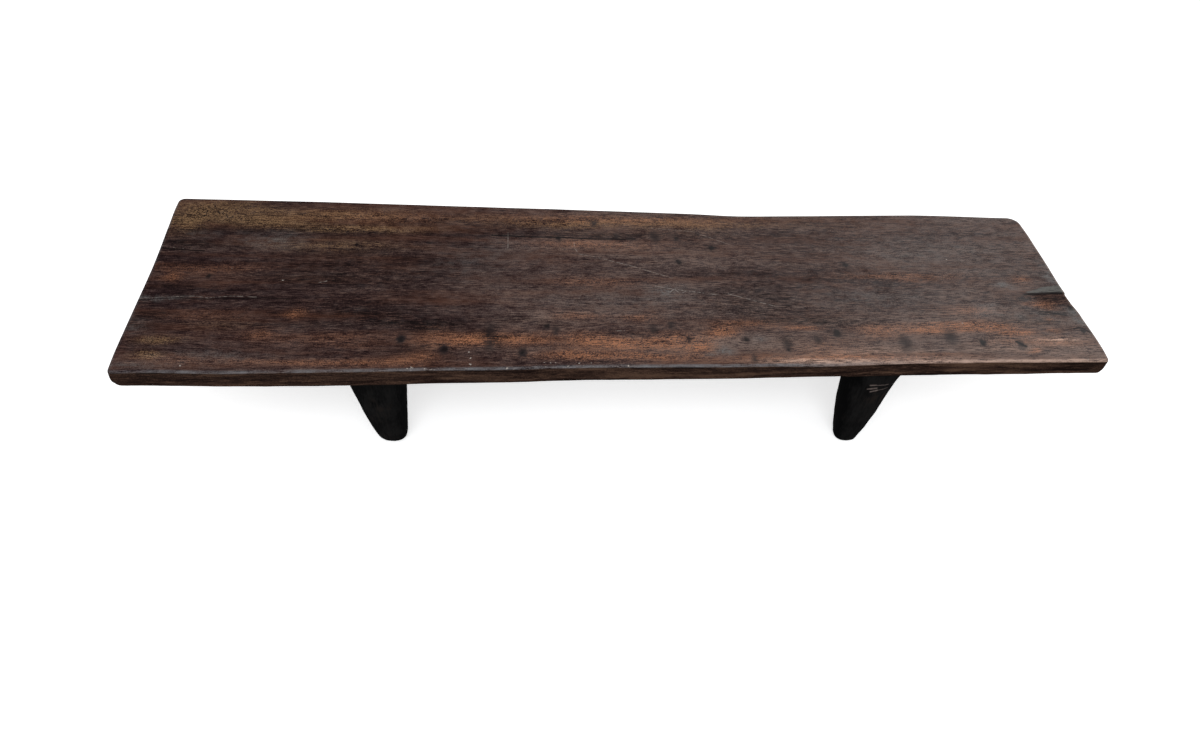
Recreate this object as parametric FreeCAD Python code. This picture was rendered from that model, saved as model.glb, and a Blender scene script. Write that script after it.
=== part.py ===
import FreeCAD, Part
import math
import os
from typing import NamedTuple

# A low hewn daybed: one long board of dark hardwood on four tapered black legs.
# Millimetres. +X runs along the board, +Y towards the back, +Z up.
# The origin lies on the floor under the middle of the board.

# Overall sizes
board_length = 2015.0
left_end_width = 538.0
right_end_width = 478.0
left_end_skew = 19.0
right_end_skew = 6.0
overall_height = 315.0
board_thickness = 42.5
leg_height = overall_height - board_thickness

# Board: top, underside and worn corners
top_sag = 4.5
left_end_underside_rise = 4.5
middle_underside_rise = 0.5
right_end_underside_rise = 1.0
underside_blend_run = 150.0
seat_margin = 24.0
front_left_corner_radius = 12.0
front_right_corner_radius = 14.0
rear_left_corner_radius = 20.0
rear_right_corner_radius = 34.0
top_arris_radius = 7.0
underside_arris_radius = 6.0
end_face_inset = 0.7

# Leg places: from the board's ends and from its long edges to the middle of each seat
left_leg_end_inset = 494.0
right_leg_end_inset = 463.5
left_leg_edge_inset = 81.0
right_leg_edge_inset = 59.5

# Leg sizes
left_leg_width = 127.0
right_leg_width = 114.0
left_foot_rim = 20.0
right_foot_rim = 10.0
sole_trim = 1.0
left_shoulder_flare = 8.0
right_shoulder_flare = 17.0
shoulder_flare_height = 56.0
inner_flare_share = 0.25
leg_depth_share = 0.85

# Joint between each leg and the board: a round tenon in a blind mortise
tenon_diameter = 48.0
wood_over_tenon = 18.5
tenon_length = board_thickness - wood_over_tenon
tenon_chamfer = 2.0
mortise_side_clearance = 0.2
mortise_end_clearance = 1.5

# One overrun for all cuts
overrun = 20.0

# Long edges in plan. Each pair is a share of the way from the left end to the right one, and how far
# the edge stands out from the straight line between its corners, as a share of the left end's width.
front_edge_shares = (
    (0.00, 0.000),
    (0.11, 0.016),
    (0.27, 0.013),
    (0.44, 0.006),
    (0.60, 0.010),
    (0.70, 0.009),
    (0.84, 0.001),
    (0.92, 0.004),
    (1.00, 0.000),
)
rear_edge_shares = (
    (0.00, 0.000),
    (0.12, 0.002),
    (0.36, -0.004),
    (0.50, -0.009),
    (0.66, -0.023),
    (0.77, -0.012),
    (0.87, 0.003),
    (0.94, 0.001),
    (1.00, 0.000),
)

# The front arris is worn wider towards the right. Each pair is a share of the way from the left end
# to the right one, and the arris's width there as a share of its radius.
front_wear_shares = (
    (0.00, 1.0),
    (0.40, 1.0),
    (0.66, 1.5),
    (0.78, 2.4),
    (0.88, 1.6),
    (1.00, 1.2),
)

# Sections that round off an end, from its face inwards, as shares of its widest corner radius
end_round_shares = (0.0, 0.05, 0.12, 0.30, 0.58, 1.0)

# The board's sections between its rounded ends, evenly spaced
even_section_count = 25

# Leg outlines seen from the front. Each row is a share of the leg's height, then how far the outer
# and the inner side stand from the middle of the seat, as shares of the leg's width.
left_leg_outline_shares = (
    (1.00, 0.498, 0.498),
    (0.75, 0.451, 0.460),
    (0.50, 0.370, 0.417),
    (0.25, 0.256, 0.372),
    (0.00, 0.109, 0.324),
)
right_leg_outline_shares = (
    (1.00, 0.428, 0.460),
    (0.75, 0.372, 0.478),
    (0.50, 0.315, 0.492),
    (0.25, 0.228, 0.426),
    (0.00, 0.124, 0.304),
)

# Rounded corners are hewn in narrow flats. An exponent of 2 makes a corner a quarter of an ellipse,
# and a larger one squares it up.
leg_exponent = 2.4
leg_corner_flat_count = 5
arris_exponent = 2.0
arris_flat_count = 3

# The rounded rim of a foot and the flare of a shoulder follow quarter rounds cut at these turns
rim_turns = (0.0, 22.0, 42.0, 60.0, 76.0, 90.0)
flare_turns = (0.0, 24.0, 44.0, 62.0, 90.0)

# Heights of the sections between the rim and the flare
body_height_shares = (0.20, 0.40, 0.60, 0.80)


class LegShape(NamedTuple):
    """What the two legs of one end share. outer_side is -1 where the outer side faces -X, and 1 where +X."""

    width: float
    foot_rim: float
    flare: float
    outline_shares: tuple
    outer_side: int


left_legs = LegShape(left_leg_width, left_foot_rim, left_shoulder_flare, left_leg_outline_shares, -1)
right_legs = LegShape(right_leg_width, right_foot_rim, right_shoulder_flare, right_leg_outline_shares, 1)


def vector(x, y, z):
    return FreeCAD.Vector(x, y, z)


def share_along(x):
    """How far along the board x is, as a share of the way from its left end to its right one."""
    return (x + board_length / 2) / board_length


def half_width_at(x):
    """Half the board's width at x, along its straight taper."""
    return (left_end_width + (right_end_width - left_end_width) * share_along(x)) / 2


def plan_corners():
    """The four corners of the board in plan, before they are rounded."""
    half_length = board_length / 2
    left_half = left_end_width / 2
    right_half = right_end_width / 2
    return {
        "front_left": vector(left_end_skew - half_length, -left_half, 0),
        "front_right": vector(half_length, -right_half, 0),
        "rear_right": vector(half_length - right_end_skew, right_half, 0),
        "rear_left": vector(-half_length, left_half, 0),
    }


def smooth_value(table, share):
    """The value at a share on a smooth curve through the rows of a table of (share, value) pairs."""
    last = len(table) - 1
    i = max(k for k in range(last) if table[k][0] <= share or k == 0)
    (start, low), (end, high) = table[i], table[i + 1]
    before, after = table[max(i - 1, 0)], table[min(i + 2, last)]
    run = end - start
    slope_in = (high - before[1]) / (end - before[0]) * run
    slope_out = (after[1] - low) / (after[0] - start) * run
    t = (share - start) / run
    rising = t * t * (3 - 2 * t)
    return low + (high - low) * rising + slope_in * t * (1 - t) ** 2 - slope_out * t * t * (1 - t)


def straight_value(table, share):
    """The value at a share on straight lines through the rows of a table of (share, value) pairs."""
    for (start, low), (end, high) in zip(table, table[1:]):
        if share <= end:
            return low + (high - low) * (share - start) / (end - start)
    return table[-1][1]


def leg_middles():
    """The middle of the left and of the right legs' seats, along X."""
    half_length = board_length / 2
    return left_leg_end_inset - half_length, half_length - right_leg_end_inset


def seat_half_run(legs):
    """Half the length of the flat that a pair of legs seats on."""
    return legs.width / 2 + legs.flare + seat_margin


def underside_table():
    """Shares of the way along the board, each with the height of its underside there."""
    left_middle, right_middle = leg_middles()
    left_run = seat_half_run(left_legs)
    right_run = seat_half_run(right_legs)
    left_level = leg_height + left_end_underside_rise
    middle_level = leg_height + middle_underside_rise
    right_level = leg_height + right_end_underside_rise
    stations = (
        (left_middle - left_run - underside_blend_run, left_level),
        (left_middle - left_run, leg_height),
        (left_middle + left_run, leg_height),
        (left_middle + left_run + underside_blend_run, middle_level),
        (right_middle - right_run - underside_blend_run, middle_level),
        (right_middle - right_run, leg_height),
        (right_middle + right_run, leg_height),
        (right_middle + right_run + underside_blend_run, right_level),
    )
    inner = [(share_along(x), level) for x, level in stations]
    return [(0.0, left_level)] + inner + [(1.0, right_level)]


def top_level(share):
    """The height of the sagging top: a shallow bow from end to end."""
    from_middle = 2 * share - 1
    return overall_height - top_sag * (1 - from_middle ** 2)


def round_inset(radius, distance):
    """How far a quarter round stands in from its side, at a distance from where it starts."""
    if distance >= radius:
        return 0.0
    return radius - math.sqrt(radius ** 2 - (radius - distance) ** 2)


def arris_run(corner_radius, arris_radius, distance):
    """How wide an arris is across the board, at a distance from the end, where it turns the corner."""
    if distance >= corner_radius:
        return arris_radius
    run = corner_radius - round_inset(corner_radius, distance)
    if distance > arris_radius:
        run -= math.sqrt(max((corner_radius - arris_radius) ** 2 - (corner_radius - distance) ** 2, 0))
    return run


def quarter_points(start, end, exponent, count, middle):
    """Points that turn a rounded corner from start to just before end, about its middle."""
    points = []
    for i in range(count):
        angle = math.pi / 2 * i / count
        from_start = (start - middle) * math.cos(angle) ** (2 / exponent)
        towards_end = (end - middle) * math.sin(angle) ** (2 / exponent)
        points.append(middle + from_start + towards_end)
    return points


def arris_points(start, corner, end):
    """Points along a worn arris, from start to end, round the corner that has worn away."""
    points = quarter_points(start, end, arris_exponent, arris_flat_count, start + end - corner)
    return points + [end]


def closed_polygon(points):
    return Part.makePolygon(points + points[:1])


def board_shares():
    """Where the board's sections stand, as shares of the way from its left end to its right one."""
    half_left = max(front_left_corner_radius, rear_left_corner_radius) / board_length
    half_right = max(front_right_corner_radius, rear_right_corner_radius) / board_length
    shares = [half_left * share for share in end_round_shares]
    shares += [1 - half_right * share for share in end_round_shares]
    shares += [share for share, _ in underside_table()[1:-1]]
    nearest = 1 / (2 * even_section_count)
    for i in range(1, even_section_count):
        even_share = i / even_section_count
        if min(abs(even_share - share) for share in shares) > nearest:
            shares.append(even_share)
    return sorted(shares)


def board_section(share, underside):
    """One upright section of the board: four sides and four worn arrises."""
    corners = plan_corners()
    on_left = share < 0.5
    front_corner = front_left_corner_radius if on_left else front_right_corner_radius
    rear_corner = rear_left_corner_radius if on_left else rear_right_corner_radius
    front_corner = max(front_corner, top_arris_radius, underside_arris_radius)
    rear_corner = max(rear_corner, top_arris_radius, underside_arris_radius)
    distance = min(share, 1 - share) * board_length + end_face_inset

    front = corners["front_left"] + (corners["front_right"] - corners["front_left"]) * share
    rear = corners["rear_left"] + (corners["rear_right"] - corners["rear_left"]) * share
    front_y = front.y - smooth_value(front_edge_shares, share) * left_end_width
    rear_y = rear.y + smooth_value(rear_edge_shares, share) * left_end_width
    front_y += round_inset(front_corner, distance)
    rear_y -= round_inset(rear_corner, distance)
    top = top_level(share) - round_inset(top_arris_radius, distance)
    bottom = straight_value(underside, share) + round_inset(underside_arris_radius, distance)
    side_top = top_level(share) - top_arris_radius
    side_bottom = straight_value(underside, share) + underside_arris_radius
    wear = smooth_value(front_wear_shares, share)

    def at(y, z):
        along = (y - front.y) / (rear.y - front.y)
        return vector(front.x + (rear.x - front.x) * along, y, z)

    top_front = front_y + arris_run(front_corner, top_arris_radius, distance) * wear
    top_rear = rear_y - arris_run(rear_corner, top_arris_radius, distance)
    bottom_front = front_y + arris_run(front_corner, underside_arris_radius, distance)
    bottom_rear = rear_y - arris_run(rear_corner, underside_arris_radius, distance)
    points = arris_points(at(top_rear, top), at(rear_y, top), at(rear_y, side_top))
    points += arris_points(at(rear_y, side_bottom), at(rear_y, bottom), at(bottom_rear, bottom))
    points += arris_points(at(bottom_front, bottom), at(front_y, bottom), at(front_y, side_bottom))
    points += arris_points(at(front_y, side_top), at(front_y, top), at(top_front, top))
    return closed_polygon(points)


def make_board():
    """The hewn board, lofted from end to end, with its mortises bored from below."""
    underside = underside_table()
    board = Part.makeLoft([board_section(share, underside) for share in board_shares()], True, True)
    for seat in seats().values():
        board = board.cut(mortise(seat))
    return board


def seats():
    """The middle of each leg's seat on the underside."""
    left_middle, right_middle = leg_middles()
    left_y = half_width_at(left_middle) - left_leg_edge_inset
    right_y = half_width_at(right_middle) - right_leg_edge_inset
    return {
        "front_left_leg": vector(left_middle, -left_y, leg_height),
        "rear_left_leg": vector(left_middle, left_y, leg_height),
        "front_right_leg": vector(right_middle, -right_y, leg_height),
        "rear_right_leg": vector(right_middle, right_y, leg_height),
    }


def mortise(seat):
    """The space bored for one tenon, with its clearances and an overrun below the seat."""
    radius = tenon_diameter / 2 + mortise_side_clearance
    depth = tenon_length + mortise_end_clearance
    return Part.makeCylinder(radius, depth + overrun, seat - vector(0, 0, overrun))


def tenon(seat):
    """A round tenon that stands on the leg's shoulder, its top edge chamfered, sunk in by an overrun."""
    radius = tenon_diameter / 2
    pin = Part.makeCylinder(radius, tenon_length + overrun, seat - vector(0, 0, overrun))
    top_edges = [edge for edge in pin.Edges if edge.BoundBox.ZMin > seat.z]
    return pin.makeChamfer(tenon_chamfer, top_edges)


def leg_section(middle, half_run):
    """The points of a leg's rounded section, about its middle."""
    half_depth = half_run * leg_depth_share
    tips = [
        middle + vector(half_run, 0, 0),
        middle + vector(0, half_depth, 0),
        middle - vector(half_run, 0, 0),
        middle - vector(0, half_depth, 0),
    ]
    points = []
    for start, end in zip(tips, tips[1:] + tips[:1]):
        points += quarter_points(start, end, leg_exponent, leg_corner_flat_count, middle)
    return points


def hewn_solid(sections):
    """A solid with flat faces between sections. They all have one shape, so that each face is flat."""
    outlines = [sections[0], sections[-1]]
    for lower, upper in zip(sections, sections[1:]):
        for i in range(len(lower)):
            outlines.append([lower[i - 1], lower[i], upper[i], upper[i - 1]])
    faces = [Part.Face(closed_polygon(outline)) for outline in outlines]
    return Part.makeSolid(Part.makeShell(faces))


def outline_at(shares, height_share):
    """The outer and inner shares of a leg at a share of its height, smoothly between the table's rows."""
    outer = 0.0
    inner = 0.0
    for i, (row_height, row_outer, row_inner) in enumerate(shares):
        weight = 1.0
        for j, other in enumerate(shares):
            if i != j:
                weight *= (height_share - other[0]) / (row_height - other[0])
        outer += weight * row_outer
        inner += weight * row_inner
    return outer, inner


def leg_stations(legs):
    """Heights of a leg's sections, each with what the rim takes off and what the flare adds.

    The rim starts a little below the floor, where the sole is sawn flat afterwards.
    """
    stations = []
    for turn in rim_turns:
        angle = math.radians(turn)
        height = legs.foot_rim * (1 - math.cos(angle)) - sole_trim
        stations.append((height, legs.foot_rim * (1 - math.sin(angle)), 0))
    flare_foot = leg_height - shoulder_flare_height
    for share in body_height_shares:
        stations.append((legs.foot_rim + (flare_foot - legs.foot_rim) * share, 0, 0))
    for turn in flare_turns:
        angle = math.radians(turn)
        height = flare_foot + shoulder_flare_height * math.sin(angle)
        stations.append((height, 0, legs.flare * (1 - math.cos(angle))))
    return stations


def below_floor(seat, width):
    """The block below the floor that is sawn off a leg to leave its flat sole."""
    side = 2 * width
    corner = vector(seat.x - width, seat.y - width, -overrun)
    return Part.makeBox(side, side, overrun, corner)


def make_leg(seat, legs):
    """A tapered leg, hewn from its foot to its shoulder, with the tenon on top."""
    sections = []
    for height, inset, flare in leg_stations(legs):
        outer_share, inner_share = outline_at(legs.outline_shares, height / leg_height)
        outer = outer_share * legs.width - inset + flare
        inner = inner_share * legs.width - inset + flare * inner_flare_share
        middle = vector(seat.x + legs.outer_side * (outer - inner) / 2, seat.y, height)
        sections.append(leg_section(middle, (outer + inner) / 2))
    body = hewn_solid(sections).cut(below_floor(seat, legs.width))
    return body.fuse(tenon(seat)).removeSplitter()


def make_parts():
    """All pieces by node name, still about the middle of the plan's corners."""
    pieces = {"bed_board": make_board()}
    for name, seat in seats().items():
        pieces[name] = make_leg(seat, left_legs if "left" in name else right_legs)
    return pieces


def centre_over_origin(pieces):
    """Move all pieces together so that the board's middle is over the origin."""
    box = pieces["bed_board"].optimalBoundingBox(False)
    shift = vector(-box.Center.x, -box.Center.y, 0)
    for piece in pieces.values():
        piece.translate(shift)
    print("moved by", shift)


def main():
    os.makedirs("parts", exist_ok=True)
    pieces = make_parts()
    centre_over_origin(pieces)
    for name, piece in pieces.items():
        solid = piece.Solids[0]
        solid.exportStep(f"parts/{name}.step")
        box = solid.optimalBoundingBox(False)
        print(name, len(piece.Solids), solid.isValid(), round(solid.Volume / 1000, 1), "cm3", box)


main()
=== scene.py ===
import logging
import math
from collections.abc import Callable
from dataclasses import dataclass, field
from enum import Enum
from functools import reduce

import bpy
import numpy as np
from mathutils import Matrix


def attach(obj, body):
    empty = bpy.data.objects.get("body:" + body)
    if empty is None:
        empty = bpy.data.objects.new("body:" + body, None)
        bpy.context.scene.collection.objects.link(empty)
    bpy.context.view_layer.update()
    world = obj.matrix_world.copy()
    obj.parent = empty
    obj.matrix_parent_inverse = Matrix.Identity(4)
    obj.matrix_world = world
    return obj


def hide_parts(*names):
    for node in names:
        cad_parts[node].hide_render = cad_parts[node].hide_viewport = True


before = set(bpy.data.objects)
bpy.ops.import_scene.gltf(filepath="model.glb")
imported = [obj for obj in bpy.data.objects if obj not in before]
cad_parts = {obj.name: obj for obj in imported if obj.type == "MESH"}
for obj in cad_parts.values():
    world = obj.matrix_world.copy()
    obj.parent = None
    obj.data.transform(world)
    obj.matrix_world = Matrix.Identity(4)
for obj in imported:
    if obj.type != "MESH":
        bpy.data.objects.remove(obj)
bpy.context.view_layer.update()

logging.basicConfig(level=logging.INFO, format="%(name)s: %(message)s")
LOG = logging.getLogger("daybed")

Array = np.ndarray
Socket = bpy.types.NodeSocket
Colour = tuple[float, float, float]
Place = tuple[float, float, float]
Pair = tuple[float, float]
Table = tuple[Pair, ...]


# ---- Numbers and surfaces -------------------------------------------------------------------------


def smooth_step(low: float | Array, high: float | Array, values: Array) -> Array:
    """Rises from 0 at low to 1 at high along a cubic that starts and ends level.

    Args:
        low: where the rise starts.
        high: where it ends; below low, the result falls instead.
        values: where the step is read.

    Returns:
        Values from 0 to 1, in the shape of the input.
    """
    t = np.clip((values - low) / (high - low), 0.0, 1.0)
    return t * t * (3.0 - 2.0 * t)


def bell(values: Array) -> Array:
    """A bell curve: e to the minus square of the values."""
    return np.exp(-values * values)


def eased_line(table: Table, at: Array, spread: float) -> Array:
    """Reads a table of (place, value) pairs, with its corners eased.

    The value is the mean of the straight line between rows, taken at nine places round the wanted
    one and weighted by a bell curve.

    Args:
        table: pairs in rising order of place.
        at: places to read.
        spread: the bell's width, in the unit of the places.

    Returns:
        One value for each place.
    """
    places, levels = np.array(table).T
    offsets = np.linspace(-1.6, 1.6, 9)
    weights = bell(offsets)
    total = sum(w * np.interp(at + o * spread, places, levels) for o, w in zip(offsets, weights))
    return total / weights.sum()


class SmoothNoise:
    """Seeded noise in three dimensions: a lattice of random values joined by smooth steps."""

    def __init__(self, seed: int, cells: int = 24) -> None:
        """Draws the lattice.

        Args:
            seed: picks the lattice.
            cells: how many cells pass before the lattice repeats.
        """
        self.cells = cells
        self.lattice = np.random.default_rng(seed).uniform(-1.0, 1.0, (cells, cells, cells))

    def at(self, x: Array, y: Array, z: Array) -> Array:
        """The noise at places given in cells: the eight values round a place, blended by smooth steps.

        Args:
            x, y, z: places along the three axes.

        Returns:
            Values between -1 and 1.
        """
        x, y, z = np.broadcast_arrays(x, y, z)
        whole = [np.floor(v).astype(int) for v in (x, y, z)]
        part = [smooth_step(0.0, 1.0, v - w) for v, w in zip((x, y, z), whole)]
        total = np.zeros(x.shape)
        for corner in np.ndindex(2, 2, 2):
            index = tuple((w + c) % self.cells for w, c in zip(whole, corner))
            weight = math.prod(p if c else 1.0 - p for p, c in zip(part, corner))
            total += weight * self.lattice[index]
        return total

    def layered(self, x: Array, y: Array, z: Array, layers: int = 3) -> Array:
        """Sums layers of the noise, each twice as fine as the last and half as strong.

        Args:
            x, y, z: places along the three axes, in cells of the first layer.
            layers: how many layers are summed.

        Returns:
            Values that seldom pass -1 or 1.
        """
        return sum(self.at(x * 2**k, y * 2**k, z * 2**k) / 2**k for k in range(layers)) / 1.4


def adze_hollows(x: Array, y: Array, length: float, width: float, seed: int) -> Array:
    """The shallow hollows that an adze leaves, one for each stroke.

    Strokes stand on a jittered grid. The height is the square of the distance to the nearest stroke's
    middle, counted in stroke lengths along x and widths along y, and held at 1.

    Args:
        x, y: places along and across the strokes.
        length, width: one stroke's size.
        seed: picks the jitter.

    Returns:
        0 in the middle of a stroke, rising to 1 at the ridges between strokes.
    """
    jitter = np.random.default_rng(seed).uniform(-0.34, 0.34, (2, 64, 64))
    u, v = x / length, y / width
    column, row = np.floor(u).astype(int), np.floor(v).astype(int)
    nearest = np.full(u.shape, 9.0)
    for i in (-1, 0, 1):
        for j in (-1, 0, 1):
            c, r = (column + i) % 64, (row + j) % 64
            du = u - (column + i + 0.5 + jitter[0, c, r])
            dv = v - (row + j + 0.5 + jitter[1, c, r])
            nearest = np.minimum(nearest, du * du + dv * dv)
    return np.minimum(nearest * 1.6, 1.0)


def grid_faces(index: Array) -> Array:
    """Four-sided faces between neighbours of a grid of vertex numbers.

    Args:
        index: vertex numbers, in rows and columns.

    Returns:
        One row of four numbers for each face, turned from rows towards columns.
    """
    return np.stack([index[:-1, :-1], index[1:, :-1], index[1:, 1:], index[:-1, 1:]], -1).reshape(-1, 4)


def fan_faces(ring: Array, pole: int) -> Array:
    """Three-sided faces from a closed ring of vertex numbers to its pole, as rows of three numbers."""
    return np.stack([ring, np.roll(ring, -1), np.full(len(ring), pole)], -1)


def mesh_object(name: str, points: Array, *face_sets: Array) -> bpy.types.Object:
    """Puts points and faces into a new mesh object at the origin.

    Args:
        name: the object's name.
        points: one row of x, y and z for each vertex, in metres.
        face_sets: arrays of vertex numbers, each with one row for each face.

    Returns:
        The object, smooth except at edges sharper than 40 degrees.
    """
    mesh = bpy.data.meshes.new(name)
    sizes = np.concatenate([np.full(len(faces), faces.shape[1]) for faces in face_sets])
    corners = np.concatenate([faces.ravel() for faces in face_sets])
    mesh.vertices.add(len(points))
    mesh.vertices.foreach_set("co", points.astype(np.float32).ravel())
    mesh.loops.add(len(corners))
    mesh.loops.foreach_set("vertex_index", corners.astype(np.int32))
    mesh.polygons.add(len(sizes))
    mesh.polygons.foreach_set("loop_start", np.concatenate([[0], np.cumsum(sizes)[:-1]]).astype(np.int32))
    mesh.update(calc_edges=True)
    mesh.validate()
    mesh.polygons.foreach_set("use_smooth", np.ones(len(sizes), dtype=bool))
    mesh.set_sharp_from_angle(angle=math.radians(40.0))
    piece = bpy.data.objects.new(name, mesh)
    bpy.context.scene.collection.objects.link(piece)
    return piece


def store(piece: bpy.types.Object, name: str, values: Array) -> None:
    """Keeps one number, or one place, for each vertex of a piece under a name that its material reads.

    Args:
        piece: the object.
        name: the attribute's name.
        values: one number, or one row of three, for each vertex.
    """
    kind, key = ("FLOAT", "value") if values.ndim == 1 else ("FLOAT_VECTOR", "vector")
    attribute = piece.data.attributes.new(name, kind, "POINT")
    attribute.data.foreach_set(key, values.astype(np.float32).ravel())


# ---- Shader arithmetic ----------------------------------------------------------------------------


def math_method(operation: str, number_first: bool = False) -> Callable:
    """Makes a method of Signal that adds one Math node.

    Args:
        operation: the node's operation.
        number_first: whether the other value goes into the first input.

    Returns:
        The method.
    """
    def method(self: "Signal", other: "Signal | float") -> "Signal":
        """The result of one Math node.

        Args:
            self: the signal.
            other: the other value.

        Returns:
            The node's output.
        """
        values = (other, self) if number_first else (self, other)
        node = self.sheet.add("ShaderNodeMath", {"operation": operation}, dict(enumerate(values)))
        return Signal(self.sheet, node.outputs[0])

    return method


class Signal:
    """A number that runs through a material. Arithmetic on it adds Math nodes."""

    __add__, __radd__ = math_method("ADD"), math_method("ADD", True)
    __sub__, __rsub__ = math_method("SUBTRACT"), math_method("SUBTRACT", True)
    __mul__, __rmul__ = math_method("MULTIPLY"), math_method("MULTIPLY", True)
    least, most = math_method("MINIMUM"), math_method("MAXIMUM")

    def __init__(self, sheet: "Sheet", socket: Socket) -> None:
        """Wraps an output socket of the sheet's tree."""
        self.sheet = sheet
        self.socket = socket

    def held(self) -> "Signal":
        """The number held between 0 and 1."""
        return self.most(0.0).least(1.0)

    def step(self, low: float, high: float) -> "Signal":
        """A smooth step from 0 at low to 1 at high, or down from 1 when high is below low.

        Args:
            low: the value that gives 0.
            high: the value that gives 1.

        Returns:
            A number from 0 to 1.
        """
        first, last, start, end = (low, high, 0.0, 1.0) if low < high else (high, low, 1.0, 0.0)
        node = self.sheet.add("ShaderNodeMapRange", {"interpolation_type": "SMOOTHSTEP"},
                              {"Value": self, "From Min": first, "From Max": last,
                               "To Min": start, "To Max": end})
        return Signal(self.sheet, node.outputs[0])


class Sheet:
    """The node tree of one material, or of the world."""

    def __init__(self, owner: bpy.types.Material | bpy.types.World) -> None:
        """Starts an empty tree.

        Args:
            owner: the new material or world that the tree belongs to.
        """
        self.owner = owner
        owner.use_nodes = True
        self.tree = owner.node_tree
        self.tree.nodes.clear()

    def add(self, kind: str, settings: dict | None = None, sockets: dict | None = None) -> bpy.types.Node:
        """Adds a node of any type.

        Args:
            kind: the node's type.
            settings: its settings, set first; the key stops holds a ramp's (place, colour) pairs.
            sockets: values, signals or sockets for its inputs, by name or number.

        Returns:
            The node.
        """
        node = self.tree.nodes.new(kind)
        for key, value in (settings or {}).items():
            if key == "stops":
                self._set_stops(node.color_ramp, value)
            else:
                setattr(node, key, value)
        for key, value in (sockets or {}).items():
            source = value.socket if isinstance(value, Signal) else value
            if isinstance(source, Socket):
                self.tree.links.new(source, node.inputs[key])
            else:
                node.inputs[key].default_value = source
        return node

    @staticmethod
    def _set_stops(ramp: bpy.types.ColorRamp, stops: tuple[tuple[float, Colour], ...]) -> None:
        """Gives a ramp its stops.

        Args:
            ramp: the ramp.
            stops: pairs of place and colour.
        """
        while len(ramp.elements) < len(stops):
            ramp.elements.new(0.5)
        for element, (place, colour) in zip(ramp.elements, stops):
            element.position = place
            element.color = (*colour, 1.0)

    def kept(self, name: str) -> Signal:
        """A number that the mesh keeps under a name."""
        return Signal(self, self.add("ShaderNodeAttribute", {"attribute_name": name}).outputs["Fac"])

    def kept_place(self, name: str) -> Socket:
        """A place that the mesh keeps under a name."""
        return self.add("ShaderNodeAttribute", {"attribute_name": name}).outputs["Vector"]

    def object_place(self) -> Socket:
        """The place in the object's own frame, in metres."""
        return self.add("ShaderNodeTexCoord").outputs["Object"]

    def vector(self, operation: str, *values: object, output: int = 0) -> Socket:
        """One Vector Math node.

        Args:
            operation: the node's operation.
            values: its inputs in order.
            output: 0 for a vector result, 1 for a number.

        Returns:
            The output socket.
        """
        node = self.add("ShaderNodeVectorMath", {"operation": operation}, dict(enumerate(values)))
        return node.outputs[output]

    def noise(self, place: Socket, scale: Colour, detail: float = 2.0,
              roughness: float = 0.55, distortion: float = 0.0) -> Signal:
        """Noise on a place stretched by a scale for each axis.

        Args:
            place: the place it is read at.
            scale: cells in a metre along each axis.
            detail: how many finer layers are added.
            roughness: how strong the finer layers are.
            distortion: how far the noise twists itself.

        Returns:
            A number round 0.
        """
        stretched = self.vector("MULTIPLY", place, scale)
        node = self.add("ShaderNodeTexNoise", {"normalize": True},
                        {"Vector": stretched, "Scale": 1.0, "Detail": detail,
                         "Roughness": roughness, "Distortion": distortion})
        return Signal(self, node.outputs["Fac"]) - 0.5

    def blend(self, first: object, second: object, share: "Signal | float") -> Socket:
        """Mixes two colours.

        Args:
            first: the colour at share 0.
            second: the colour at share 1.
            share: how much of the second.

        Returns:
            The mixed colour.
        """
        colours = [(*c, 1.0) if isinstance(c, tuple) else c for c in (first, second)]
        node = self.add("ShaderNodeMix", {"data_type": "RGBA", "blend_type": "MIX"},
                        {0: share, 6: colours[0], 7: colours[1]})
        return node.outputs[2]

    def layers(self, colour: object, *over: tuple[object, "Signal | float"]) -> Socket:
        """Lays colours over a first one.

        Args:
            colour: the first colour.
            over: the other colours in their order, each with its share.

        Returns:
            The last mix.
        """
        for second, share in over:
            colour = self.blend(colour, second, share)
        return colour

    def colour_noise(self, place: Socket, scale: float) -> Socket:
        """Three noises round a half, at one scale, as a colour."""
        return self.add("ShaderNodeTexNoise", {"normalize": True},
                        {"Vector": place, "Scale": scale, "Detail": 2.0}).outputs["Color"]

    def ramp(self, value: Signal, stops: tuple[tuple[float, Colour], ...]) -> Socket:
        """A colour read from a ramp at a value."""
        return self.add("ShaderNodeValToRGB", {"stops": stops}, {"Fac": value}).outputs["Color"]

    def nearest_spot(self, place: Socket, spots: tuple["Spot", ...]) -> Signal:
        """The distance to the nearest of some spots seen from above, counted in their radii.

        Args:
            place: the place it is read at.
            spots: the spots.

        Returns:
            0 in the middle of a spot and 1 at its rim.
        """
        distances = []
        for spot in spots:
            scale = (1.0 / spot.half_length, 1.0 / spot.half_width, 0.0)
            shift = (-spot.x * scale[0], -spot.y * scale[1], 0.0)
            local = self.vector("MULTIPLY_ADD", place, scale, shift)
            distances.append(Signal(self, self.vector("LENGTH", local, output=1)))
        return reduce(Signal.least, distances)

    def nearest_line(self, place: Socket, lines: tuple["Line", ...]) -> Signal:
        """The distance to the nearest of some straight lines, counted in their half widths.

        For each line, the place is brought to the nearest point between its two ends.

        Args:
            place: the place it is read at.
            lines: the lines.

        Returns:
            0 on a line and 1 at its edge.
        """
        distances = []
        for line in lines:
            start, end = np.array(line.start), np.array(line.end)
            run = end - start
            away = self.vector("SUBTRACT", place, tuple(start))
            along = Signal(self, self.vector("DOT_PRODUCT", away, tuple(run / (run @ run)), output=1))
            held = along.held()
            point = self.add("ShaderNodeVectorMath", {"operation": "SCALE"},
                             {0: tuple(run), "Scale": held}).outputs[0]
            gap = Signal(self, self.vector("DISTANCE", away, point, output=1))
            distances.append(gap * (1.0 / line.half_width))
        return reduce(Signal.least, distances)

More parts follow.
